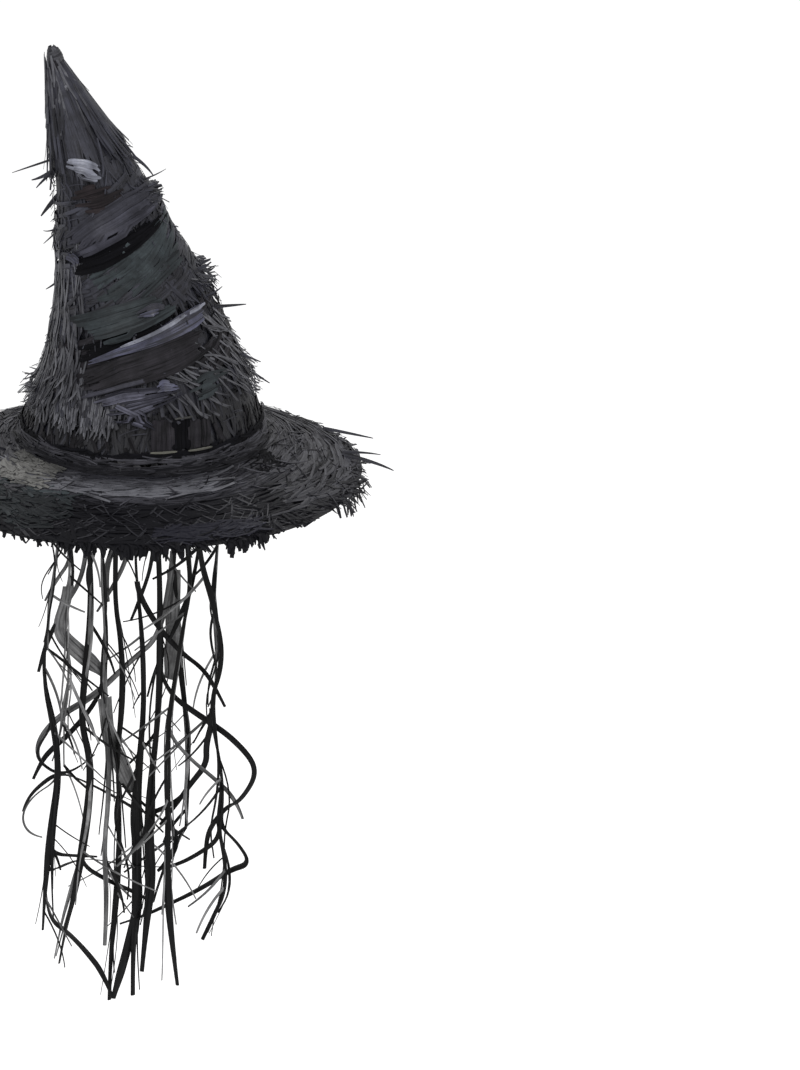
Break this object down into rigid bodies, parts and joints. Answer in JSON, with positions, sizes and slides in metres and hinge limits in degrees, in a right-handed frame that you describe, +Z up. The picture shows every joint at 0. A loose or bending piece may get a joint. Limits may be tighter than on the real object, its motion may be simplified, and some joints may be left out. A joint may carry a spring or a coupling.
{
  "type": "witch hat",
  "caption": "Pointed witch hat of dark raffia tiers over a stiff leaning crown and a sloping brim, with loose raffia hair knotted on a cord under the back of the brim.",
  "frame": {"origin": "middle of the head opening, level with the top face of the brim board where the crown stands on it", "axes": "+Z up along the head opening towards the point, -Y towards the front of the hat, the point leans to -X"},
  "size_m": [0.4024, 0.4024, 0.9398],
  "materials": {
    "black_raffia": "dyed raffia, satin",
    "hair_raffia": "dyed raffia strips, satin",
    "dark_strip": "flat raffia strip",
    "glossy_strip": "glossy flat strip",
    "stiff_board": "stiffened non-woven, matte",
    "cotton_tape": "woven tape",
    "braided_cord": "braided cord",
    "hoop_plastic": "moulded strip"
  },
  "bodies": {
    "hat": {"brim_board": "stiff_board", "brim_hoop": "hoop_plastic", "brim_under_mat": "black_raffia", "brim_upper_mat": "black_raffia", "cord_loops": "cotton_tape", "crown_seam_tape": "cotton_tape", "crown_shell": "stiff_board", "crown_tier_1": "black_raffia", "crown_tier_2": "black_raffia", "crown_tier_3": "black_raffia", "crown_tier_4": "black_raffia", "crown_tier_5": "black_raffia", "front_patch": "dark_strip", "front_tab_left": "dark_strip", "front_tab_right": "dark_strip", "hair_cord": "braided_cord", "point_cap": "black_raffia", "rim_fringe": "black_raffia", "rim_tape": "cotton_tape", "sheen_strip": "glossy_strip", "sweatband": "cotton_tape", "wrap_ribbon": "glossy_strip"},
    "lock_1": {"lock_1_knot": "hair_raffia", "lock_1_left_tail": "hair_raffia", "lock_1_right_tail": "hair_raffia"},
    "lock_2": {"lock_2_knot": "hair_raffia", "lock_2_left_tail": "hair_raffia", "lock_2_right_tail": "hair_raffia"},
    "lock_3": {"lock_3_knot": "hair_raffia", "lock_3_left_tail": "hair_raffia", "lock_3_right_tail": "hair_raffia"},
    "lock_4": {"lock_4_knot": "hair_raffia", "lock_4_left_tail": "hair_raffia", "lock_4_right_tail": "hair_raffia"},
    "lock_5": {"lock_5_knot": "hair_raffia", "lock_5_left_tail": "hair_raffia", "lock_5_right_tail": "hair_raffia"},
    "lock_6": {"lock_6_knot": "hair_raffia", "lock_6_left_tail": "hair_raffia", "lock_6_right_tail": "hair_raffia"}
  },
  "joints": [
    {"name": "lock_1_swing", "type": "hinge", "parent": "hat", "child": "lock_1", "pos_m": [-0.0792, 0.06187, -0.0088], "axis": [0.6157, 0.788, 0], "range_deg": [0, 30]},
    {"name": "lock_2_swing", "type": "hinge", "parent": "hat", "child": "lock_2", "pos_m": [-0.0562, 0.08332, -0.0088], "axis": [0.829, 0.5592, 0], "range_deg": [0, 30]},
    {"name": "lock_3_swing", "type": "hinge", "parent": "hat", "child": "lock_3", "pos_m": [-0.0277, 0.09661, -0.0088], "axis": [0.9613, 0.2756, 0], "range_deg": [0, 30]},
    {"name": "lock_4_swing", "type": "hinge", "parent": "hat", "child": "lock_4", "pos_m": [0.00351, 0.10044, -0.0088], "axis": [0.9994, -0.0349, 0], "range_deg": [0, 30]},
    {"name": "lock_5_swing", "type": "hinge", "parent": "hat", "child": "lock_5", "pos_m": [0.03437, 0.09444, -0.0088], "axis": [0.9397, -0.342, 0], "range_deg": [0, 30]},
    {"name": "lock_6_swing", "type": "hinge", "parent": "hat", "child": "lock_6", "pos_m": [0.06187, 0.0792, -0.0088], "axis": [0.788, -0.6157, 0], "range_deg": [0, 30]}
  ]
}
